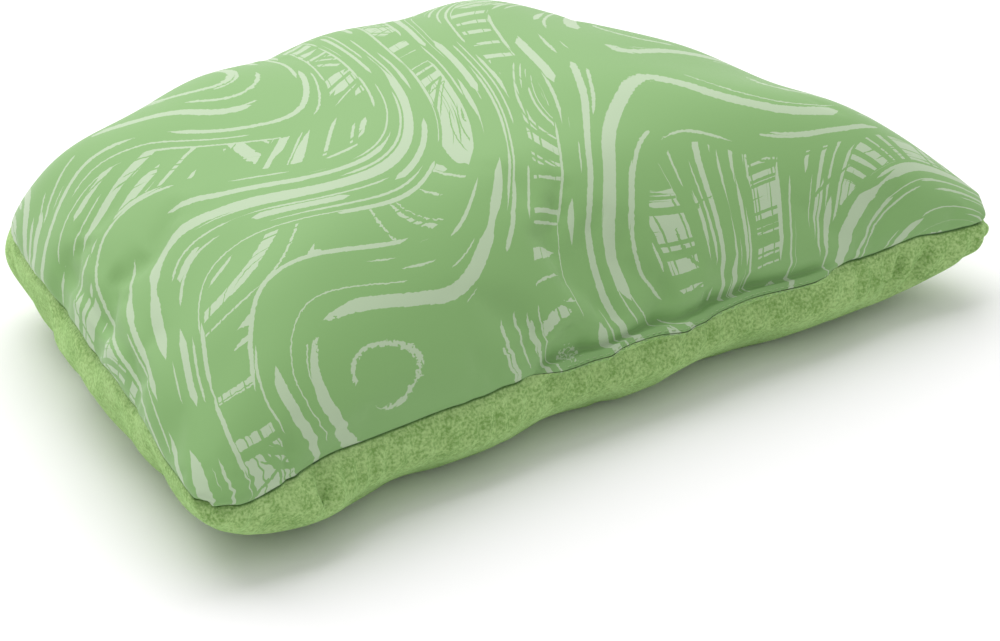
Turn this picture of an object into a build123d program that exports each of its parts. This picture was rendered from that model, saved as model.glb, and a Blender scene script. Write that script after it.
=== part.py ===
"""Camp pillow: a printed top panel and a fleece underside, sewn round a one-piece foam core.

Millimetres. The pillow rests on the plane Z = 0 with +Z up. Its long front edge faces -Y and
its shorter, bowed rear edge faces +Y. The two panels meet at the seam plane, where their
seam allowances lie flat on each other inside the case.
"""

import os
from math import asin, cos, degrees, pi, sin

from build123d import *

# Seam outline, seen from above: a trapezoid of four arcs with rounded corners.
front_span = 430.0
rear_span = 280.0
depth = 268.0
front_pull_in = 10.0
side_bow = 4.0
rear_bow = 14.0
corner_radius = 20.0

# Heights above the surface that the pillow rests on.
height = 118.0
seam_height = 42.0

# How the two panels curve away from the seam. The shares are of the outline's size, and
# corner_softening is how much rounder the corners get as the share nears nothing.
corner_softening = 105.0
crown_share = 0.24
foot_share = 0.68
dome_side_power = 2.8
dome_rise_power = 1.3
dome_sections = 5
belly_sections = 6

# Cloth: thickness, the width turned in at the seam, and the folds of the closing seam.
print_cloth = 0.8
fleece_cloth = 1.6
seam_allowance = 10.0
fold_layers = 2

# The gap between the foam and everything round it.
foam_clearance = 0.4

# Perimeter seam: a lockstitch, and an overlock over the raw edges.
thread_radius = 0.25
thread_clearance = 0.05
stitch_inset = 3.5
overlock_width = 4.0
overlock_thickness = 0.5

# Closing seam, where the foam went in: both edges folded in, pressed together and topstitched.
closing_middle = 36.0
closing_length = 150.0
fin_width = 4.0
fin_root = 0.6
topstitch_offset = 0.9
stitch_pitch = 3.2
stitch_gap = 0.7
leg_radius = 0.2
needle_hole_clearance = 0.1

front_y = -depth / 2
rear_y = depth / 2
front_arc_radius = ((front_span / 2) ** 2 + front_pull_in**2) / (2 * front_pull_in)
front_arc_centre_y = front_y + front_pull_in - front_arc_radius
print_fold = fold_layers * print_cloth
fleece_fold = fold_layers * fleece_cloth
stitch_length = stitch_pitch - stitch_gap
thread_rise = thread_radius + thread_clearance


def outline(share=1.0, inset=0.0, level=0.0):
    """The seam outline, scaled about the origin by share, drawn in by inset, set at level.

    The last step redraws every side as a plain arc.
    """
    front_left = (-front_span / 2, front_y)
    front_right = (front_span / 2, front_y)
    rear_right = (rear_span / 2, rear_y - rear_bow)
    rear_left = (-rear_span / 2, rear_y - rear_bow)
    softened_radius = corner_radius + corner_softening * (1 - share)
    with BuildSketch() as rounded:
        with BuildLine():
            SagittaArc(front_left, front_right, front_pull_in)
            SagittaArc(front_right, rear_right, -side_bow)
            SagittaArc(rear_right, rear_left, -rear_bow)
            SagittaArc(rear_left, front_left, -side_bow)
        make_face()
        fillet(rounded.vertices(), softened_radius)
        scale(by=share)
        if inset:
            offset(amount=-inset)
    with BuildSketch(Plane.XY.offset(level)) as redrawn:
        with BuildLine():
            for side in rounded.edges():
                ThreePointArc(side @ 0, side @ 0.5, side @ 1)
        make_face()
    return redrawn.sketch


def dome_outlines(inset=0.0):
    """Superellipse sections from the seam plane up to a flat crown."""
    turn = pi / 2 - asin(crown_share ** (dome_side_power / 2))
    sections = []
    for step in range(dome_sections):
        angle = turn * step / (dome_sections - 1)
        share = cos(angle) ** (2 / dome_side_power)
        rise = (sin(angle) / sin(turn)) ** (2 / dome_rise_power)
        level = seam_height + rise * (height - inset - seam_height)
        sections.append(outline(share, inset, level))
    return sections


def belly_outlines(inset=0.0):
    """Quarter-ellipse sections from the flat foot up to the seam plane."""
    sections = []
    for step in range(belly_sections):
        angle = pi / 2 * step / (belly_sections - 1)
        share = 1 - (1 - foot_share) * (1 - sin(angle))
        level = seam_height - cos(angle) * (seam_height - inset)
        sections.append(outline(share, inset, level))
    return sections


def band(outer_inset, inner_inset, level):
    """The area between two insets of the seam outline, set at level."""
    with BuildSketch(Plane.XY.offset(level)) as ring:
        add(outline(inset=outer_inset))
        add(outline(inset=inner_inset), mode=Mode.SUBTRACT)
    return ring.sketch


def fin(level):
    """The folded edge that stands out along the closing seam, set at level."""
    with BuildSketch(Plane.XY.offset(level)) as fold:
        with Locations((0, front_arc_centre_y)):
            Circle(front_arc_radius + fin_root)
            Circle(front_arc_radius - fin_width, mode=Mode.SUBTRACT)
        with Locations((closing_middle, front_y)):
            Rectangle(closing_length, rear_span / 2, mode=Mode.INTERSECT)
    return fold.sketch


def stitch_places(level):
    """Where each stitch of the closing seam lies, with local Y along the line of stitches."""
    radius = front_arc_radius - topstitch_offset
    count = int(closing_length / stitch_pitch) - 1
    places = []
    for number in range(count):
        along = closing_middle + (number - (count - 1) / 2) * stitch_pitch
        turn = asin(along / radius)
        spot = (along, front_arc_centre_y + radius * cos(turn), level)
        places.append(Location(spot, (0, 0, -degrees(turn) - 90)))
    return places


def pierce_closing_seam():
    """Make the needle's holes through the folded edges."""
    with Locations(*stitch_places(seam_height)):
        with Locations((0, stitch_length / 2)):
            Cylinder(
                leg_radius + needle_hole_clearance,
                2 * (print_fold + fleece_fold),
                mode=Mode.SUBTRACT,
            )


def lay_stitches(level, leg):
    """Lay stitches at level, each with a leg of thread through the cloth to the seam plane."""
    with Locations(*stitch_places(level)):
        Cylinder(thread_radius, stitch_length + 2 * thread_radius, rotation=(90, 0, 0))
        with Locations((0, stitch_length / 2, leg / 2)):
            Cylinder(leg_radius, abs(leg))


def run_seam_thread(level):
    """Run one thread of the perimeter lockstitch round to both ends of the closing seam."""
    path = outline(inset=stitch_inset, level=level).wire()
    with BuildSketch(Plane(origin=path @ 0, z_dir=path % 0)) as thread:
        Circle(thread_radius)
    sweep(thread.sketch, path=path)
    with Locations((closing_middle, front_y, level)):
        Box(closing_length, rear_span / 2, 4 * thread_radius, mode=Mode.SUBTRACT)


with BuildPart() as top_panel:
    loft(dome_outlines())
    loft(dome_outlines(print_cloth), mode=Mode.SUBTRACT)
    extrude(band(print_cloth / 2, seam_allowance, seam_height), amount=print_cloth)
    extrude(fin(seam_height), amount=print_fold)
    pierce_closing_seam()

with BuildPart() as bottom_panel:
    loft(belly_outlines())
    loft(belly_outlines(fleece_cloth), mode=Mode.SUBTRACT)
    extrude(band(fleece_cloth / 2, seam_allowance, seam_height), amount=-fleece_cloth)
    extrude(fin(seam_height), amount=-fleece_fold)
    pierce_closing_seam()

overlock_top = print_cloth + overlock_thickness
overlock_bottom = fleece_cloth + overlock_thickness
groove_depth = seam_allowance + overlock_thickness + foam_clearance
with BuildPart() as foam_core:
    loft(dome_outlines(print_cloth + foam_clearance))
    loft(belly_outlines(fleece_cloth + foam_clearance))
    groove = band(0, groove_depth, seam_height)
    extrude(groove, amount=overlock_top + foam_clearance, mode=Mode.SUBTRACT)
    extrude(groove, amount=-overlock_bottom - foam_clearance, mode=Mode.SUBTRACT)

with BuildPart() as seam_needle_thread:
    run_seam_thread(seam_height + print_cloth + thread_rise)

with BuildPart() as seam_bobbin_thread:
    run_seam_thread(seam_height - fleece_cloth - thread_rise)

overlock_start = seam_allowance - overlock_width
overlock_end = seam_allowance + overlock_thickness
with BuildPart() as overlock_thread:
    loops = band(overlock_start, overlock_end, seam_height)
    extrude(loops, amount=overlock_top)
    extrude(loops, amount=-overlock_bottom)
    allowances = band(0, seam_allowance, seam_height)
    extrude(allowances, amount=print_cloth, mode=Mode.SUBTRACT)
    extrude(allowances, amount=-fleece_cloth, mode=Mode.SUBTRACT)

with BuildPart() as closing_needle_thread:
    lay_stitches(seam_height + print_fold + thread_rise, -print_fold - thread_rise)

with BuildPart() as closing_bobbin_thread:
    lay_stitches(seam_height - fleece_fold - thread_rise, fleece_fold + thread_rise)

pieces = {
    "top_panel": top_panel,
    "bottom_panel": bottom_panel,
    "foam_core": foam_core,
    "seam_needle_thread": seam_needle_thread,
    "seam_bobbin_thread": seam_bobbin_thread,
    "overlock_thread": overlock_thread,
    "closing_needle_thread": closing_needle_thread,
    "closing_bobbin_thread": closing_bobbin_thread,
}

os.makedirs("parts", exist_ok=True)
for name, piece in pieces.items():
    piece.part.label = name
    export_step(piece.part, f"parts/{name}.step")
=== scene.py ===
"""Camp pillow: a printed top panel and a fleece underside over a foam block, on a pale floor."""

import bpy
import numpy as np
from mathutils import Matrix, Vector


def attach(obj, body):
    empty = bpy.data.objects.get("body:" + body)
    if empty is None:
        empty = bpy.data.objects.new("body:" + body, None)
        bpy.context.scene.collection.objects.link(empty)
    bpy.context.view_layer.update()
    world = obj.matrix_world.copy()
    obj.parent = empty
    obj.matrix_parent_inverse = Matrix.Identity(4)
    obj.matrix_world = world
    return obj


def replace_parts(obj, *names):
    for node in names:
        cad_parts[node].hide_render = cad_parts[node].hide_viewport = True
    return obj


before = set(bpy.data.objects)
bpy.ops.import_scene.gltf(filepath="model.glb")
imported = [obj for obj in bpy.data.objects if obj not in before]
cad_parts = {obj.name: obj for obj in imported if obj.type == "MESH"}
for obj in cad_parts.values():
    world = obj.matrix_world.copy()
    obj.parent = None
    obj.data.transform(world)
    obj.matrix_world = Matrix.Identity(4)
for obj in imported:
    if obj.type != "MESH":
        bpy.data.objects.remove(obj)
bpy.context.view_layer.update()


# The case, before it is dressed. Two cut panels are sewn edge to edge round the foam: a
# trapezoid with the front edge drawn in and the other three bowed out. Both panels start
# from the grids made here, so their edges meet all the way round.

front_span, rear_span = 0.430, 0.280
front_y, panel_depth = -0.134, 0.254
front_pull_in, side_bow, rear_bow = 0.010, 0.004, 0.014
front_corner_softness, rear_corner_softness = 0.0170, 0.0110
case_height = 0.112

# Height of the sewn edge at the left corner, middle and right corner of each side.
front_seam_heights = (0.036, 0.036, 0.036)
rear_seam_heights = (0.044, 0.037, 0.037)
left_seam_middle, right_seam_middle = 0.048, 0.048


def bowed_side(start, end, bow, t):
    """The straight line from start to end, plus bow * (1 - t^2) across it, for t from -1 to 1."""
    start, end = np.array(start), np.array(end)
    half = (end - start) / 2
    across = np.array([half[1], -half[0]]) / np.hypot(*half)
    return (start + end) / 2 + half * t[:, None] + across * (bow * (1 - t**2))[:, None]


def sewn_edge(count=1440):
    """The outline from above: four bowed sides, each corner blurred along the edge by a bell
    curve of its own softness. Returns evenly spaced points and the index of each corner."""
    t = np.linspace(-1, 1, 400)
    corners = [
        (-front_span / 2, front_y),
        (front_span / 2, front_y),
        (rear_span / 2, front_y + panel_depth),
        (-rear_span / 2, front_y + panel_depth),
    ]
    bows = (-front_pull_in, side_bow, rear_bow, side_bow)
    sides = [bowed_side(corners[i], corners[(i + 1) % 4], bows[i], t)[:-1] for i in range(4)]
    sharp = np.vstack(sides + [sides[0][:1]])
    run = np.r_[0, np.cumsum(np.hypot(*np.diff(sharp, axis=0).T))]
    length = run[-1]
    place = np.linspace(0, length, count, endpoint=False)
    even = np.stack([np.interp(place, run, sharp[:, k]) for k in (0, 1)], 1)
    corner_place = run[[0, 399, 798, 1197]]
    softness = np.array([front_corner_softness] * 2 + [rear_corner_softness] * 2)
    away = np.abs((place[:, None] - corner_place + length / 2) % length - length / 2)
    blur = (softness * np.exp(-((away / (2.2 * softness)) ** 2))).max(1) + 1e-5
    offset = np.arange(-90, 91)
    weight = np.exp(-0.5 * (offset * length / count / blur[:, None]) ** 2)
    weight /= weight.sum(1, keepdims=True)
    soft = (even[(np.arange(count)[:, None] + offset) % count] * weight[..., None]).sum(1)
    return soft, np.round(corner_place / length * count).astype(int) % count


def stretch_along(points, share):
    """Points at the given shares of a line's length."""
    run = np.r_[0, np.cumsum(np.linalg.norm(np.diff(points, axis=0), axis=1))]
    columns = [np.interp(share, run / run[-1], points[:, k]) for k in range(points.shape[1])]
    return np.stack(columns, -1)


def through_three(values, t):
    """The parabola through three values at t = -1, 0 and 1."""
    first, middle, last = values
    return first * t * (t - 1) / 2 + middle * (1 - t**2) + last * t * (t + 1) / 2


def filled_between(front, right, rear, left, s, t):
    """Coons patch: each pair of facing sides blended, less the blend of the corners."""
    u, v = (s + 1)[:, None, None] / 2, (t + 1)[None, :, None] / 2
    across = (1 - v) * front[:, None] + v * rear[:, None]
    along = (1 - u) * left[None] + u * right[None]
    corners = (1 - u) * (1 - v) * front[0] + u * (1 - v) * front[-1]
    return across + along - corners - u * v * rear[-1] - (1 - u) * v * rear[0]


def fullness(s, t, power, sharing):
    """1 in the middle and 0 along the edge: 1 - (|s|^p and |t|^p joined as a soft maximum)."""
    a, b = np.abs(s)[:, None] ** power, np.abs(t)[None, :] ** power
    return np.clip(1 - (a**sharing + b**sharing - (a * b) ** sharing) ** (1 / sharing), 0, 1)


def grid_faces(index):
    """Four-sided faces between neighbouring rows and columns of a grid of point numbers."""
    corners = (index[:-1, :-1], index[1:, :-1], index[1:, 1:], index[:-1, 1:])
    return np.stack(corners, -1).reshape(-1, 4)


def bell(value, middle, width):
    """exp(-((value - middle) / width)^2)."""
    return np.exp(-(((value - middle) / width) ** 2))


def eased(share):
    """3x^2 - 2x^3, with x held between 0 and 1."""
    x = np.clip(share, 0, 1)
    return x * x * (3 - 2 * x)


across_count, depth_count = 97, 65
s_even, t_even = np.linspace(-1, 1, across_count), np.linspace(-1, 1, depth_count)
s_line = 0.5 * np.sin(np.pi / 2 * s_even) + 0.5 * s_even
t_line = 0.5 * np.sin(np.pi / 2 * t_even) + 0.5 * t_even

edge, corner_index = sewn_edge()
sides = []
for first, last in zip(corner_index, np.roll(corner_index, -1)):
    last = last + len(edge) if last <= first else last
    sides.append(edge[np.arange(first, last + 1) % len(edge)])
front_edge = stretch_along(sides[0], (s_line + 1) / 2)
right_edge = stretch_along(sides[1], (t_line + 1) / 2)
rear_edge = stretch_along(sides[2][::-1], (s_line + 1) / 2)
left_edge = stretch_along(sides[3][::-1], (t_line + 1) / 2)

front_height = through_three(front_seam_heights, s_line)
rear_height = through_three(rear_seam_heights, s_line)
right_three = (front_seam_heights[2], right_seam_middle, rear_seam_heights[2])
left_three = (front_seam_heights[0], left_seam_middle, rear_seam_heights[0])
right_height = through_three(right_three, t_line)
left_height = through_three(left_three, t_line)

# The seam isn't true: it dips and lifts a little where the cloth was eased in. Along the front
# that is near the corners, as (place, width, height). The left and rear ripple, as (height,
# radians to a metre).
front_dips = (
    (-0.150, 0.016, 0.0016),
    (-0.190, 0.012, -0.0016),
    (0.167, 0.012, 0.0012),
    (0.145, 0.012, -0.0008),
)
left_ripple, rear_ripple = (0.0016, 155), (0.0012, 140)
for place, width, height in front_dips:
    front_height = front_height + height * bell(front_edge[:, 0], place, width)
left_height = left_height + left_ripple[0] * np.sin(left_edge[:, 1] * left_ripple[1]) * (1 - t_line**4)
rear_height = rear_height + rear_ripple[0] * np.sin(rear_edge[:, 0] * rear_ripple[1]) * (1 - s_line**4)

seam_level = filled_between(
    np.c_[front_edge, front_height],
    np.c_[right_edge, right_height],
    np.c_[rear_edge, rear_height],
    np.c_[left_edge, left_height],
    s_line,
    t_line,
)
# At the rear left corner the seam is pulled up and in, and the fleece bulges out round its end.
ear_lift, ear_tuck, ear_bulge, ear_width = 0.0060, 0.0060, 0.0105, 0.013
ear_way = np.array([-0.8, 0.6])
from_ear = np.linalg.norm(seam_level[..., :2] - seam_level[0, -1, :2], axis=2)
ear = bell(from_ear, 0, ear_width)
seam_level[..., 2] += ear_lift * ear
seam_level[..., :2] -= ear_tuck * ear[..., None] * ear_way

upper = seam_level.copy()
upper[..., 2] += (case_height - seam_level[..., 2]) * fullness(s_line, t_line, 3, 2) ** 0.75

# The foam's rear and right shoulders aren't quite even: each rises and falls in a soft wave.
hump_height = 0.002
rear_hump_spacing, right_hump_spacing = 0.070, 0.085
rear_share = bell(t_line, 0.72, 0.25)[None, :] * (1 - s_line**8)[:, None]
upper[..., 2] += hump_height * rear_share * np.sin(2 * np.pi * upper[..., 0] / rear_hump_spacing)
right_share = bell(s_line, 0.80, 0.22)[:, None] * (1 - t_line**8)[None, :]
upper[..., 2] += hump_height * right_share * np.cos(2 * np.pi * upper[..., 1] / right_hump_spacing)

# Below the seam the foam pushes the fleece out along the front: a steady swell with soft
# billows in it, and a fuller roll by the left corner.
front_swell, billow, billow_spacing = 0.007, 0.002, 0.090
roll, roll_place, roll_width = 0.005, -0.160, 0.016
lower = seam_level.copy()
sunk = np.minimum(1.25 * fullness(s_line, t_line, 5, 1) ** 0.5, 1)
lower[..., 2] = seam_level[..., 2] * (1 - sunk)
front_share = eased((0.2 - t_line) / 1.2)[None, :] ** 3 * (1 - s_line**12)[:, None]
across = seam_level[..., 0]
front_push = front_swell + billow * np.sin(2 * np.pi * across / billow_spacing)
front_push = front_push + roll * bell(across, roll_place, roll_width)
lower[..., 1] -= front_push * front_share * np.sin(np.pi * sunk)
lower[..., :2] += (ear_bulge * ear * np.sin(np.pi * sunk))[..., None] * ear_way

# Loose cloth over foam: the two panels are one closed bag, cut a little larger than the foam
# and blown out softly, so they settle into folds. The foam holds the shape, so the cloth's
# movement less its local average is kept, which is the folds alone.
oversize = 0.034
fold_limit = 0.0036
fold_reach = 13
foot_height = 0.012
cloth_steps = 20


def averaged(near, far, reach):
    """Every point's mean with its neighbours in the grid, weighted by a bell curve. Past each
    edge the grid carries on with the facing panel's first rows and columns."""
    weight = bell(np.arange(-reach, reach + 1), 0, reach / 1.8)
    weight /= weight.sum()
    before, after = slice(reach, 0, -1), slice(-2, -reach - 2, -1)
    beside = np.concatenate([far[before], far, far[after]])
    wide = np.concatenate([far[before], near, far[after]])
    wide = np.concatenate([beside[:, before], wide, beside[:, after]], 1)
    tall = sum(w * wide[k : k + near.shape[0]] for k, w in enumerate(weight))
    return sum(w * tall[:, k : k + near.shape[1]] for k, w in enumerate(weight))


def settle(upper, lower):
    """Join the grids into one bag, run the cloth, and return both grids moved by the folds:
    each point's move less the average move round it, by no more than fold_limit."""
    rows, columns = upper.shape[:2]
    index = np.arange(rows * columns).reshape(rows, columns)
    inside = np.zeros((rows, columns), bool)
    inside[1:-1, 1:-1] = True
    lower_index = index.copy()
    lower_index[inside] = rows * columns + np.arange(inside.sum())
    points = np.vstack([upper.reshape(-1, 3), lower[inside]])
    faces = np.vstack([grid_faces(index), grid_faces(lower_index)[:, ::-1]])
    mesh = bpy.data.meshes.new("bag")
    mesh.from_pydata(points.tolist(), [], faces.tolist())
    bag = bpy.data.objects.new("bag", mesh)
    bpy.context.collection.objects.link(bag)
    cloth = bag.modifiers.new("cloth", "CLOTH").settings
    cloth.quality = 5
    cloth.mass = 0.2
    cloth.tension_stiffness = cloth.compression_stiffness = 18
    cloth.shear_stiffness = 6
    cloth.bending_stiffness = 0.8
    cloth.use_pressure = True
    cloth.uniform_pressure_force = 4
    cloth.shrink_min = -oversize
    cloth.effector_weights.gravity = 0
    bag.modifiers["cloth"].point_cache.frame_end = cloth_steps
    for step in range(1, cloth_steps + 1):
        bpy.context.scene.frame_set(step)
    settled = bag.evaluated_get(bpy.context.evaluated_depsgraph_get()).to_mesh()
    moved = np.empty(len(points) * 3)
    settled.vertices.foreach_get("co", moved)
    bpy.data.objects.remove(bag)
    bpy.data.meshes.remove(mesh)
    bpy.context.scene.frame_set(1)
    move = moved.reshape(-1, 3) - points
    above, below = move[index], move[lower_index]
    drift_above, drift_below = averaged(above, below, fold_reach), averaged(below, above, fold_reach)
    above, below = above - drift_above, below - drift_below
    shared = (above + below) / 2
    above, below = (np.where(inside[..., None], fold, shared) for fold in (above, below))
    below[..., 2] *= eased(lower[..., 2] / foot_height)
    for fold in (above, below):
        far = np.linalg.norm(fold, axis=2, keepdims=True)
        fold *= fold_limit * np.tanh(far / fold_limit) / np.maximum(far, 1e-9)
    return upper + above, lower + below


upper, lower = settle(upper, lower)
lower[..., 2] = np.maximum(lower[..., 2], 0)


# Printed top panel. Thin woven polyester with a faint sheen, printed with broad brush strokes
# in a middle green over a light one. Its edge turns in at the seam. Along the closing seam it
# is folded under and stitched through close to the fold, so it stands out there as a lip.

print_thickness = 0.0008
turn_in, turn_droop = 0.0045, 0.0020
seam_depth, seam_width = 0.0030, 0.0013
closing_left, closing_right = -0.0396, 0.1119
lip_end = 0.020
lip_wave, lip_wave_rate, lip_wave_fade = 0.0010, 105, 0.004

# The lip's section: how far out and up it stands at each distance from the edge of the cloth.
lip_places = [0, 0.0008, 0.0020, 0.0032, 0.0050, 0.0090]
lip_out = [0.0042, 0.0044, 0.0032, 0.0004, -0.0018, 0]
lip_up = [0.0002, 0.0013, 0.0019, -0.0008, -0.0022, 0]


def between_rows(count, edge_cells, edge_cuts, middle_cuts):
    """Places along a grid of count rows: edge_cuts to a cell near both ends, middle_cuts inside."""
    cuts = np.full(count - 1, middle_cuts)
    cuts[:edge_cells] = cuts[-edge_cells:] = edge_cuts
    return np.r_[np.concatenate([k + np.arange(n) / n for k, n in enumerate(cuts)]), count - 1]


def finer(grid, places, axis):
    """Catmull-Rom curve through the grid's rows, read at the given places."""
    grid = np.moveaxis(grid, axis, 0)
    count = len(grid)
    k = np.minimum(places.astype(int), count - 2)
    f = (places - k).reshape((-1,) + (1,) * (grid.ndim - 1))
    ends = np.concatenate([2 * grid[:1] - grid[1:2], grid, 2 * grid[-1:] - grid[-2:-1]])
    a, b, c, d = ends[k], ends[k + 1], ends[k + 2], ends[k + 3]
    curve = b + 0.5 * f * (c - a + f * (2 * a - 5 * b + 4 * c - d + f * (3 * (b - c) + d - a)))
    return np.moveaxis(curve, 0, axis)


def outward(grid):
    """Unit normals of a grid, from the cross product of its two directions."""
    normal = np.cross(np.gradient(grid, axis=0), np.gradient(grid, axis=1))
    return normal / np.maximum(np.linalg.norm(normal, axis=2, keepdims=True), 1e-12)


def from_seam(grid):
    """Distance over the cloth from every point to the nearest of the four sides."""
    across = np.linalg.norm(np.diff(grid, axis=0), axis=2)
    along = np.linalg.norm(np.diff(grid, axis=1), axis=2)
    zero_row, zero_column = np.zeros((1, grid.shape[1])), np.zeros((grid.shape[0], 1))
    left = np.concatenate([zero_row, across.cumsum(0)])
    right = np.concatenate([across[::-1].cumsum(0)[::-1], zero_row])
    front = np.concatenate([zero_column, along.cumsum(1)], 1)
    rear = np.concatenate([along[:, ::-1].cumsum(1)[:, ::-1], zero_column], 1)
    return left, right, front, rear


def closing_share(x):
    """1 over the closing seam and 0 beyond it, eased over lip_end at both ends."""
    return eased((x - closing_left) / lip_end + 0.5) * eased((closing_right - x) / lip_end + 0.5)


def dress_edge(grid, up):
    """Sink the cloth into the seam by seam_depth, dying away over seam_width. Over the closing
    seam move it instead as lip_out and lip_up say for its distance from the edge, with a slow
    wave along the fold. up is 1 for the top panel and -1 for the underside."""
    left, right, front, rear = from_seam(grid)
    nearest = np.minimum(np.minimum(left, right), np.minimum(front, rear))
    away = (grid - grid.mean((0, 1))) * [1, 1.3, 0]
    away /= np.maximum(np.linalg.norm(away, axis=2, keepdims=True), 1e-9)
    lip = closing_share(grid[..., 0]) * (grid[..., 1] < 0)
    sink = seam_depth * np.exp(-nearest / seam_width) * (1 - lip)
    wave = lip_wave * np.sin(grid[..., 0] * lip_wave_rate + 0.6) * np.exp(-front / lip_wave_fade)
    grid = grid - away * sink[..., None]
    grid[..., 1] -= np.interp(front, lip_places, lip_out) * lip
    grid[..., 2] += (up * np.interp(front, lip_places, lip_up) + wave) * lip
    return grid


def seam_shade_distance(grid, sides):
    """Distance over the cloth to the nearest side, which the materials turn into painted shade
    along the seam. Over the closing seam it is a centimetre more, so the lip is kept clear of the painted
    shade up to its edge."""
    nearest = np.minimum.reduce(sides)
    return nearest + 0.01 * closing_share(grid[..., 0]) * (grid[..., 1] < 0)


def ring_of(rows, columns):
    """The grid's border as a closed run of indices, anticlockwise from above."""
    index = np.arange(rows * columns).reshape(rows, columns)
    return np.concatenate([index[:-1, 0], index[-1, :-1], index[:0:-1, -1], index[0, :0:-1]])


def inward_from(edge):
    """Level unit vectors into the case, square to a run of points that goes round it
    anticlockwise from above."""
    tangent = np.roll(edge, -2, 0) - np.roll(edge, 2, 0)
    inward = np.stack([-tangent[:, 1], tangent[:, 0], 0 * tangent[:, 0]], 1)
    return inward / np.linalg.norm(inward, axis=1, keepdims=True)


def panel_mesh(name, grid, up, fields):
    """The grid as a mesh, with its edge carried inwards by turn_in in four rings. fields are
    values kept on the points, and on the rings as at the edge."""
    rows, columns = grid.shape[:2]
    index = np.arange(rows * columns).reshape(rows, columns)
    faces = [grid_faces(index)]
    ring = ring_of(rows, columns)
    edge = grid.reshape(-1, 3)[ring]
    inward = inward_from(edge)
    points, last, source = [grid.reshape(-1, 3)], ring, [np.arange(rows * columns)]
    for number, share in enumerate((0.15, 0.4, 0.7, 1.0)):
        points.append(edge + inward * turn_in * share + [0, 0, up * 0.00006 - turn_droop * share])
        source.append(ring)
        new = rows * columns + number * len(ring) + np.arange(len(ring))
        faces.append(np.stack([last, new, np.roll(new, -1), np.roll(last, -1)], 1)[:, ::-1])
        last = new
    points, faces, source = np.vstack(points), np.vstack(faces), np.concatenate(source)
    if up < 0:
        faces = faces[:, ::-1]
    mesh = bpy.data.meshes.new(name)
    mesh.from_pydata(points.tolist(), [], faces.tolist())
    for key, value in fields.items():
        value = value.reshape(rows * columns, -1)[source]
        if value.shape[1] == 1:
            mesh.attributes.new(key, "FLOAT", "POINT").data.foreach_set("value", value.ravel())
        else:
            mesh.attributes.new(key, "FLOAT_VECTOR", "POINT").data.foreach_set("vector", value.ravel())
    mesh.shade_smooth()
    piece = bpy.data.objects.new(name, mesh)
    bpy.context.collection.objects.link(piece)
    return piece


def flat_cloth(grid):
    """Where each point lay on the flat cloth: its distance over the cloth from the middle line
    of each direction."""
    across = np.linalg.norm(np.diff(grid, axis=0), axis=2)
    along = np.linalg.norm(np.diff(grid, axis=1), axis=2)
    u = np.concatenate([np.zeros((1, grid.shape[1])), across.cumsum(0)])
    v = np.concatenate([np.zeros((grid.shape[0], 1)), along.cumsum(1)], 1)
    rows, columns = grid.shape[:2]
    return u - u[rows // 2], v - v[:, columns // 2][:, None]


# One brush field for each coat: seed, wavelength, and how far it climbs along the cloth's u and
# v, which keeps most strokes from closing on themselves.
wave_slope = 0.5
brushes = ((3, 0.20, 0.45, 0.25), (11, 0.23, -0.30, 0.50), (29, 0.19, 0.50, -0.35))


def brush_field(u, v, seed, wavelength, climb_u, climb_v):
    """A height field whose contours the brush follows: a steady climb along u and v, and six
    plane waves in seeded directions, each with a slope of up to a half. Returns the height and
    how steep it is, up to 1."""
    rng = np.random.default_rng(seed)
    height, steep_u, steep_v = climb_u * u + climb_v * v, climb_u, climb_v
    for turn in rng.permutation(6):
        angle = (turn + rng.uniform(-0.3, 0.3)) * np.pi / 6
        k = 2 * np.pi / (wavelength * rng.uniform(0.8, 1.5))
        phase = k * (u * np.cos(angle) + v * np.sin(angle)) + rng.uniform(0, 2 * np.pi)
        height = height + wave_slope * np.sin(phase) / k
        steep_u = steep_u + wave_slope * np.cos(phase) * np.cos(angle)
        steep_v = steep_v + wave_slope * np.cos(phase) * np.sin(angle)
    return height, np.minimum(np.hypot(steep_u, steep_v), 1)


across_places = between_rows(across_count, 3, 5, 2)
depth_places = between_rows(depth_count, 5, 5, 2)
top = finer(finer(upper, across_places, 0), depth_places, 1)
left, right, front, rear = from_seam(top)
normal = outward(top)

# Small pleats along the left edge, where the print was eased onto the fleece. Each is (distance
# from the edge, width, share of the depth).
pleat_depth = 0.0011
pleats = ((0.010, 0.003, 1.0), (0.016, 0.003, -0.8), (0.023, 0.004, 0.6))
pleat = sum(share * bell(left, place, width) for place, width, share in pleats)
pleat_run = eased((top[..., 1] + 0.075) / 0.05) * eased((0.060 - top[..., 1]) / 0.05)
top = top + normal * (pleat_depth * pleat * pleat_run)[..., None]
top = dress_edge(top, 1)

u, v = flat_cloth(top)
brushed = [brush_field(u, v, *brush) for brush in brushes]
strokes, steepness = (np.stack(part, -1) for part in zip(*brushed))

# Kept on the points for the print and for the painted shade along the seam, in millimetres but for the
# steepness.
on_points = {
    "strokes": 1000 * strokes,
    "steepness": steepness,
    "cloth": 1000 * np.stack([u, v, 0 * u], -1),
    "from_edge": 1000 * seam_shade_distance(top, (left, right, front, rear)),
}
top_piece = panel_mesh("printed_top", top, 1, on_points)
solid = top_piece.modifiers.new("thickness", "SOLIDIFY")
solid.thickness = print_thickness
solid.offset = -1

middle_green = (0.209, 0.395, 0.134, 1)
light_green = (0.42, 0.54, 0.355, 1)
# A near-black green: painted shade for the crease of the seam.
seam_shade_green = (0.035, 0.10, 0.02, 1)


def wire(material, kind, inputs=(), **settings):
    """Add one shader node. inputs are values or other nodes' outputs, by socket number or name."""
    made = material.node_tree.nodes.new("ShaderNode" + kind)
    for key, value in settings.items():
        setattr(made, key, value)
    for key, value in dict(inputs).items():
        if isinstance(value, bpy.types.NodeSocket):
            material.node_tree.links.new(value, made.inputs[key])
        else:
            made.inputs[key].default_value = value
    return made


def sum_of(material, operation, a, b=0.0, c=0.0):
    """One Math node's result."""
    return wire(material, "Math", {0: a, 1: b, 2: c}, operation=operation).outputs[0]


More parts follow.
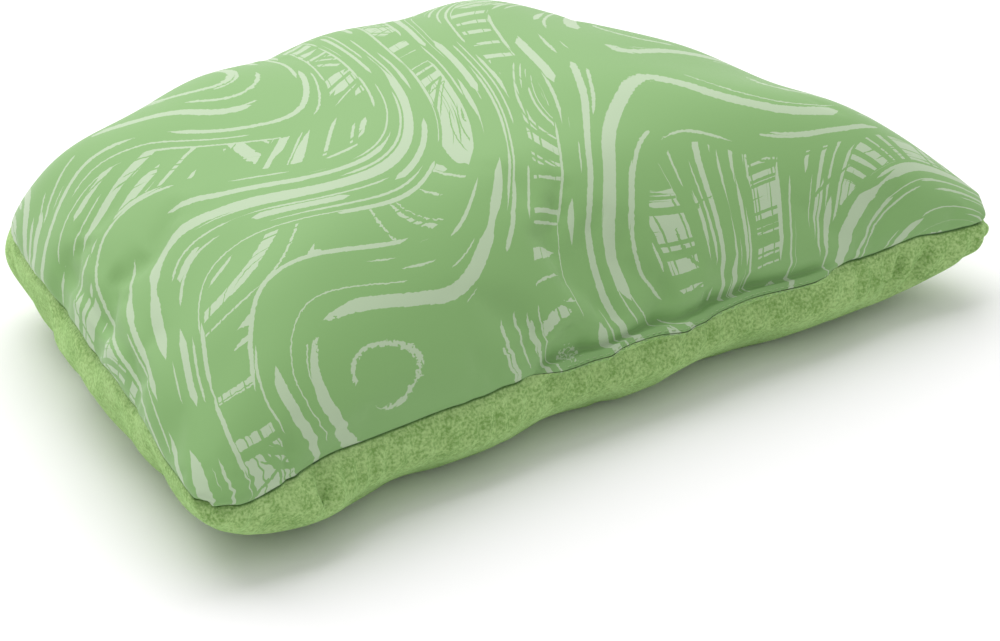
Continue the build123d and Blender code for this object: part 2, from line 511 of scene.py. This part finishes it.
def fresh_material(name):
    """An empty material with one Principled shader, which is returned with it."""
    material = bpy.data.materials.new(name)
    material.use_nodes = True
    return material, material.node_tree.nodes["Principled BSDF"]


def ramp_to(material, value, low, high):
    """0 below low, 1 above high, eased between."""
    inputs = {0: value, 1: low, 2: high, 3: 0.0, 4: 1.0}
    return wire(material, "MapRange", inputs, interpolation_type="SMOOTHSTEP").outputs[0]


def blended(material, share, low, high):
    """The colour low where share is 0 and high where it is 1."""
    return wire(material, "Mix", {0: share, 6: low, 7: high}, data_type="RGBA").outputs[2]


def noise_at(material, place, detail=1.0, roughness=0.5):
    """Noise with features about one unit across, at a place given in such units."""
    inputs = {"Vector": place, "Scale": 1.0, "Detail": detail, "Roughness": roughness}
    return wire(material, "TexNoise", inputs).outputs[0]


def scaled(material, place, *shares):
    """A place with its parts multiplied by the given shares."""
    return wire(material, "VectorMath", {0: place, 1: shares}, operation="MULTIPLY").outputs[0]


def bristle_lines(material, place, field, steep, spacing, thinnest, number):
    """Light lines along a stroke, one to each spacing of the field's height. Each line has a
    width of its own, which it keeps while a slow noise of its own is over thinnest. Where the
    field is less steep its contours lie wider apart, so the line takes less of its height."""
    count = sum_of(material, "DIVIDE", field, spacing)
    own = sum_of(material, "MULTIPLY", sum_of(material, "FLOOR", count), 5.7)
    offset = wire(material, "CombineXYZ", {0: own, 1: own, 2: 7.3 * number}).outputs[0]
    slow = scaled(material, place, 0.019, 0.019, 0)
    spot = wire(material, "VectorMath", {0: slow, 1: offset}, operation="ADD").outputs[0]
    over = sum_of(material, "SUBTRACT", noise_at(material, spot, 0.5), thinnest)
    on = sum_of(material, "MULTIPLY", over, 3.5)
    chance = wire(material, "TexWhiteNoise", {"W": own}, noise_dimensions="1D").outputs["Value"]
    full = sum_of(material, "MULTIPLY", sum_of(material, "MULTIPLY_ADD", chance, 0.24, 0.07), steep)
    in_line = sum_of(material, "SUBTRACT", sum_of(material, "FRACT", count), 0.5)
    from_middle = sum_of(material, "ABSOLUTE", in_line)
    return sum_of(material, "LESS_THAN", from_middle, sum_of(material, "MINIMUM", on, full))


# Three coats, the last on top. Each is (stroke and gap together, share that is stroke, start,
# spacing of its bristle lines), in millimetres of its field. Lines show the light ground.
coats = ((66.0, 0.76, 12.0, 9.0), (74.0, 0.72, 41.0, 11.0), (62.0, 0.70, 5.0, 10.0))

# Three sizes of line in a coat, as (share of its spacing, thinnest noise that shows).
broad_line, hair_line, dry_line = (1.0, 0.445), (0.40, 0.56), (0.25, 0.57)

printed, shader = fresh_material("printed_polyester")
cloth_place = wire(printed, "Attribute", attribute_name="cloth").outputs["Vector"]
stroke_fields = wire(printed, "Attribute", attribute_name="strokes").outputs["Vector"]
fields = wire(printed, "SeparateXYZ", {0: stroke_fields}).outputs
steepness = wire(printed, "Attribute", attribute_name="steepness").outputs["Vector"]
steep = wire(printed, "SeparateXYZ", {0: steepness}).outputs
fine_noise = noise_at(printed, scaled(printed, cloth_place, 0.45, 0.45, 0), 2.0, 0.6)
slow_noise = noise_at(printed, scaled(printed, cloth_place, 0.03, 0.03, 0), 0.0)
ragged = sum_of(printed, "SUBTRACT", fine_noise, 0.5)
wander = sum_of(printed, "MULTIPLY", sum_of(printed, "SUBTRACT", slow_noise, 0.5), 2.5)
jitter = sum_of(printed, "ADD", ragged, wander)
light = 1.0
for number, (period, stroke_share, start, spacing) in enumerate(coats):
    field = sum_of(printed, "ADD", fields[number], jitter)
    broad, hairs, dry = (
        bristle_lines(printed, cloth_place, field, steep[number], spacing * share, thinnest, number + 3 * k)
        for k, (share, thinnest) in enumerate((broad_line, hair_line, dry_line))
    )
    gaps = sum_of(printed, "MAXIMUM", broad, hairs)
    phase = sum_of(printed, "FRACT", sum_of(printed, "DIVIDE", sum_of(printed, "ADD", field, start), period))
    stroke = sum_of(printed, "LESS_THAN", phase, stroke_share)
    uncovered = sum_of(printed, "SUBTRACT", 1.0, sum_of(printed, "MAXIMUM", stroke, dry))
    below_it = sum_of(printed, "MULTIPLY", light, uncovered)
    light = sum_of(printed, "ADD", below_it, sum_of(printed, "MULTIPLY", gaps, stroke))
inked = blended(printed, light, middle_green, light_green)
# Painted shade: within about a millimetre of the seam the print turns near-black green, standing in for the
# shade in the seam's crease. The lip of the closing seam is kept clear of it.
from_edge = wire(printed, "Attribute", attribute_name="from_edge").outputs["Fac"]
clear_of_seam_shade = ramp_to(printed, from_edge, 0.2, 1.1)
colour = blended(printed, clear_of_seam_shade, seam_shade_green, inked)
printed.node_tree.links.new(colour, shader.inputs["Base Color"])
shader.inputs["Roughness"].default_value = 0.60
shader.inputs["Specular IOR Level"].default_value = 0.35
shader.inputs["Sheen Weight"].default_value = 0.15
shader.inputs["Sheen Roughness"].default_value = 0.5
weave = noise_at(printed, scaled(printed, cloth_place, 2.2, 2.2, 0), 2.0)
bump = wire(printed, "Bump", {"Height": weave, "Strength": 0.12, "Distance": 0.0003}).outputs[0]
printed.node_tree.links.new(bump, shader.inputs["Normal"])
top_piece.data.materials.append(printed)
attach(top_piece, "root")
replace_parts(top_piece, "top_panel")


# Fleece underside. One panel of short-napped polyester fleece, soft and slightly pebbled,
# with the same turned-in edge. It rolls under the foam and lies flat only where it rests.

fleece_thickness = 0.0016
across_places = between_rows(across_count, 8, 5, 3)
depth_places = between_rows(depth_count, 8, 5, 1)
under = finer(finer(lower, across_places, 0), depth_places, 1)
left, right, front, rear = from_seam(under)
normal = -outward(under)

# Fine puckers along the front seam, stronger to the right, fading away from the seam.
pucker_depth, pucker_rate, pucker_drift, pucker_slant = 0.0008, 620, 90, 160
pucker_places, pucker_shares = [-0.21, -0.185, 0.13, 0.20], [0.4, 1, 1, 1.6]
at_front = under[..., 1] < 0
across = under[..., 0]
pucker = np.sin(across * pucker_rate + 2.2 * np.sin(across * pucker_drift) + front * pucker_slant)
pucker_run = np.interp(across, pucker_places, pucker_shares) * at_front * bell(front, 0.010, 0.008)

# Deeper creases by the front corners, a dimple on the left and two slanting folds on the
# right, each as (place, slant, width, depth).
creases = (
    (-0.157, 0.0, 0.0034, -0.0075),
    (0.158, -0.5, 0.0028, -0.0032),
    (0.173, -0.5, 0.0028, -0.0042),
)
crease_run = bell(front, 0.012, 0.009) * at_front
for place, slant, width, depth in creases:
    crease = bell(under[..., 0], place + slant * front, width)
    under = under + normal * (depth * crease * crease_run)[..., None]
under = under + normal * (pucker_depth * pucker * pucker_run)[..., None]
under = dress_edge(under, -1)
under[..., 2] = np.maximum(under[..., 2], 0)
u, v = flat_cloth(under)
on_points = {
    "cloth": 1000 * np.stack([u, v, 0 * u], -1),
    "from_edge": 1000 * seam_shade_distance(under, (left, right, front, rear)),
}
under_piece = panel_mesh("fleece_underside", under, -1, on_points)
solid = under_piece.modifiers.new("thickness", "SOLIDIFY")
solid.thickness = fleece_thickness
solid.offset = -1

fleece, shader = fresh_material("green_fleece")
object_place = wire(fleece, "TexCoord").outputs["Object"]
nap_inputs = {"Vector": object_place, "Scale": 780.0, "Detail": 3.0, "Roughness": 0.6}
patch_inputs = {"Vector": object_place, "Scale": 95.0, "Detail": 2.0}
nap = wire(fleece, "TexNoise", nap_inputs).outputs[0]
patch = wire(fleece, "TexNoise", patch_inputs).outputs[0]
shade = sum_of(fleece, "ADD", sum_of(fleece, "MULTIPLY", nap, 0.7), sum_of(fleece, "MULTIPLY", patch, 0.3))
shade = ramp_to(fleece, shade, 0.33, 0.66)
napped = blended(fleece, shade, (0.180, 0.33, 0.085, 1), (0.42, 0.61, 0.245, 1))
# Painted shade: within about a millimetre of the seam the fleece turns near-black green, standing in for the
# shade in the seam's crease. The lip of the closing seam is kept clear of it.
from_edge = wire(fleece, "Attribute", attribute_name="from_edge").outputs["Fac"]
nap_clear_of_seam_shade = ramp_to(fleece, from_edge, 0.1, 0.9)
colour = blended(fleece, nap_clear_of_seam_shade, (0.06, 0.14, 0.03, 1), napped)
fleece.node_tree.links.new(colour, shader.inputs["Base Color"])
shader.inputs["Roughness"].default_value = 0.95
shader.inputs["Specular IOR Level"].default_value = 0.1
shader.inputs["Sheen Weight"].default_value = 0.6
shader.inputs["Sheen Roughness"].default_value = 0.45
shader.inputs["Sheen Tint"].default_value = (0.60, 0.95, 0.40, 1)
bump = wire(fleece, "Bump", {"Height": nap, "Strength": 0.8, "Distance": 0.0009}).outputs[0]
fleece.node_tree.links.new(bump, shader.inputs["Normal"])
under_piece.data.materials.append(fleece)
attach(under_piece, "root")
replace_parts(under_piece, "bottom_panel")


# Foam filling. One block of open-cell polyurethane foam, cut to the shape of the case and
# pushed in through the closing seam. Nothing fastens it: the case holds it, out of sight.

foam_gap = 0.004
foam_shares = [0.93, 0.90, 1]
foam_above = upper * foam_shares - [0, 0, foam_gap]
foam_below = lower * foam_shares + [0, 0, foam_gap]
rows, columns = upper.shape[:2]
index = np.arange(rows * columns).reshape(rows, columns)
ring = ring_of(rows, columns)
foam_points = np.vstack([foam_above.reshape(-1, 3), foam_below.reshape(-1, 3)])
foam_points[ring] = (foam_points[ring] + foam_points[ring + rows * columns]) / 2
below_index = index + rows * columns
below_index[[0, -1]], below_index[:, [0, -1]] = index[[0, -1]], index[:, [0, -1]]
foam_faces = np.vstack([grid_faces(index), grid_faces(below_index)[:, ::-1]])
used, renumbered = np.unique(foam_faces, return_inverse=True)
foam_mesh = bpy.data.meshes.new("foam_block")
foam_mesh.from_pydata(foam_points[used].tolist(), [], renumbered.reshape(-1, 4).tolist())
foam_mesh.shade_smooth()
foam_piece = bpy.data.objects.new("foam_block", foam_mesh)
bpy.context.collection.objects.link(foam_piece)
foam, shader = fresh_material("open_cell_foam")
object_place = wire(foam, "TexCoord").outputs["Object"]
cells = wire(foam, "TexNoise", {"Vector": object_place, "Scale": 900.0, "Detail": 2.0}).outputs[0]
colour = blended(foam, cells, (0.72, 0.68, 0.52, 1), (0.86, 0.83, 0.70, 1))
foam.node_tree.links.new(colour, shader.inputs["Base Color"])
shader.inputs["Roughness"].default_value = 0.95
foam_piece.data.materials.append(foam)
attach(foam_piece, "root")
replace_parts(foam_piece, "foam_core")


# Closing seam stitches. Spun polyester thread, dyed to match, in short tight stitches through
# both folds close to the edge of the lip: the needle thread shows above, the bobbin thread below.

stitch_inset, stitch_radius = 0.0012, 0.00022
stitch_pitch, stitch_gap = 0.0032, 0.0007
stitch_rings, stitch_sides = 9, 6

thread, shader = fresh_material("green_thread")
object_place = wire(thread, "TexCoord").outputs["Object"]
twist = wire(thread, "TexNoise", {"Vector": object_place, "Scale": 1500.0}).outputs[0]
colour = blended(thread, twist, (0.20, 0.36, 0.13, 1), (0.36, 0.55, 0.26, 1))
thread.node_tree.links.new(colour, shader.inputs["Base Color"])
shader.inputs["Roughness"].default_value = 0.7


def row_at(grid, distance, places):
    """Points of a grid at the given distance from its front edge, one to each row."""
    front = from_seam(grid)[2]
    rows = np.arange(len(grid))
    before = np.maximum((front < distance).sum(1) - 1, 0)
    share = ((distance - front[rows, before]) / (front[rows, before + 1] - front[rows, before]))[:, None]
    return places[rows, before] * (1 - share) + places[rows, before + 1] * share


def tube_faces(number):
    """Faces of tubes from point numbers in rings: (tube, ring, point). Ends are closed."""
    corners = (number[:, :-1], np.roll(number[:, :-1], -1, 2), np.roll(number[:, 1:], -1, 2), number[:, 1:])
    ends = np.concatenate([number[:, 0], number[:, -1, ::-1]])
    return np.stack(corners, -1).reshape(-1, 4).tolist() + ends.tolist()


def thread_piece(name, rings, number):
    """Make a thread's tubes a piece of the thread material."""
    mesh = bpy.data.meshes.new(name)
    mesh.from_pydata(rings.reshape(-1, 3).tolist(), [], tube_faces(number))
    mesh.shade_smooth()
    mesh.materials.append(thread)
    piece = bpy.data.objects.new(name, mesh)
    bpy.context.collection.objects.link(piece)
    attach(piece, "root")
    return piece


def stitches(name, grid, facing):
    """A row of stitches along the lip. Each is a six-sided tube whose middle line follows the
    cloth and rises from it as half a sine, with its ends drawn to a point under the cloth."""
    path = row_at(grid, stitch_inset, grid)
    up = row_at(grid, stitch_inset, outward(grid)) * facing
    kept = (path[:, 0] > closing_left + lip_end / 2) & (path[:, 0] < closing_right - lip_end / 2)
    path, up = path[kept], up[kept]
    run = np.r_[0, np.cumsum(np.linalg.norm(np.diff(path, axis=0), axis=1))]
    count = int(run[-1] / stitch_pitch)
    step = np.linspace(0, 1, stitch_rings)
    place = (np.arange(count)[:, None] * stitch_pitch + step * (stitch_pitch - stitch_gap)).ravel()
    middle = np.stack([np.interp(place, run, path[:, k]) for k in range(3)], 1)
    rise = np.stack([np.interp(place, run, up[:, k]) for k in range(3)], 1)
    rise /= np.linalg.norm(rise, axis=1, keepdims=True)
    side = np.cross(np.gradient(middle, axis=0), rise)
    side /= np.linalg.norm(side, axis=1, keepdims=True)
    arch = np.tile(np.sin(np.pi * step), count)[:, None]
    middle = middle + rise * stitch_radius * (2.4 * arch - 1.6)
    pointed = np.r_[0.05, np.ones(stitch_rings - 2), 0.05]
    width = stitch_radius * np.tile(pointed, count)[:, None, None]
    turn = np.arange(stitch_sides)[:, None] * 2 * np.pi / stitch_sides
    section = np.cos(turn) * side[:, None] + np.sin(turn) * rise[:, None]
    number = np.arange(count * stitch_rings * stitch_sides).reshape(count, stitch_rings, stitch_sides)
    return thread_piece(name, middle[:, None] + width * section, number)


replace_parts(stitches("closing_stitches_above", top, 1), "closing_needle_thread")
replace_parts(stitches("closing_stitches_below", under, -1), "closing_bobbin_thread")


# Threads inside the case, the same thread: the lockstitch that joins the turned-in edges, above
# and below them, and the overlock over their raw edges. All three stop at the closing seam.

lockstitch_inset, overlock_inset = 0.0022, 0.0040
overlock_half_width, overlock_half_height = 0.0015, 0.0014


def run_round(name, inset, level, half_width, half_height):
    """An oval section carried along the seam from one end of the closing seam round to the
    other, moved in by inset and up by level."""
    edge = top.reshape(-1, 3)[ring_of(*top.shape[:2])]
    inward = inward_from(edge)
    closing = np.nonzero((closing_share(edge[:, 0]) > 0) & (edge[:, 1] < 0))[0]
    order = np.roll(np.arange(len(edge)), -closing[-1] - 1)[: len(edge) - len(closing)]
    middle = (edge + inward * inset + [0, 0, level])[order, None]
    turn = np.arange(8)[:, None] * np.pi / 4
    sideways = half_width * np.cos(turn) * inward[order, None]
    rings = middle + sideways + half_height * np.sin(turn) * [0, 0, 1]
    return thread_piece(name, rings, np.arange(len(order) * 8).reshape(1, len(order), 8))


thread_level = stitch_radius - turn_droop * lockstitch_inset / turn_in
above_level, below_level = thread_level + print_thickness, -thread_level - fleece_thickness
above = run_round("lockstitch_above", lockstitch_inset, above_level, stitch_radius, stitch_radius)
below = run_round("lockstitch_below", lockstitch_inset, below_level, stitch_radius, stitch_radius)
overlock = run_round("overlock", overlock_inset, -turn_droop, overlock_half_width, overlock_half_height)
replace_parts(above, "seam_needle_thread")
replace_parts(below, "seam_bobbin_thread")
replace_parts(overlock, "overlock_thread")


# A pale floor, soft light from a large panel overhead and behind, and the camera.

floor_mesh = bpy.data.meshes.new("floor")
floor_mesh.from_pydata([(-6, -6, 0), (6, -6, 0), (6, 6, 0), (-6, 6, 0)], [], [(0, 1, 2, 3)])
floor = bpy.data.objects.new("floor", floor_mesh)
bpy.context.collection.objects.link(floor)
white, shader = fresh_material("white_floor")
shader.inputs["Base Color"].default_value = (0.925, 0.915, 0.925, 1)
shader.inputs["Roughness"].default_value = 0.9
floor_mesh.materials.append(white)

world = bpy.data.worlds.new("studio")
world.use_nodes = True
world.node_tree.nodes["Background"].inputs[0].default_value = (1, 1, 1, 1)
world.node_tree.nodes["Background"].inputs[1].default_value = 0.70
bpy.context.scene.world = world


def aimed(thing, place, way):
    """Put a light or the camera at place, looking along way, with its top side up."""
    thing.location = place
    thing.rotation_euler = Vector(way).to_track_quat("-Z", "Y").to_euler()
    bpy.context.collection.objects.link(thing)


panel = bpy.data.lights.new("overhead", "AREA")
panel.shape, panel.size, panel.energy = "SQUARE", 2.2, 32
panel_place = np.array([0.12, 0.85, 1.50])
aimed(bpy.data.objects.new("overhead", panel), panel_place, -panel_place)

bpy.context.scene.view_settings.view_transform = "Standard"
camera_data = bpy.data.cameras.new("camera")
camera_data.lens = 173.4
camera_data.sensor_width = 36
camera = bpy.data.objects.new("camera", camera_data)
camera_place = np.array([-1.13826, -1.44716, 0.93252])
looked_at = np.array([0, -0.00705, 0.05])
aim_right, aim_down = 0.01231, 0.02039
forward = looked_at - camera_place
forward /= np.linalg.norm(forward)
rightward = np.cross(forward, [0, 0, 1])
rightward /= np.linalg.norm(rightward)
upward = np.cross(rightward, forward)
aimed(camera, camera_place, forward + aim_right * rightward - aim_down * upward)
bpy.context.scene.camera = camera
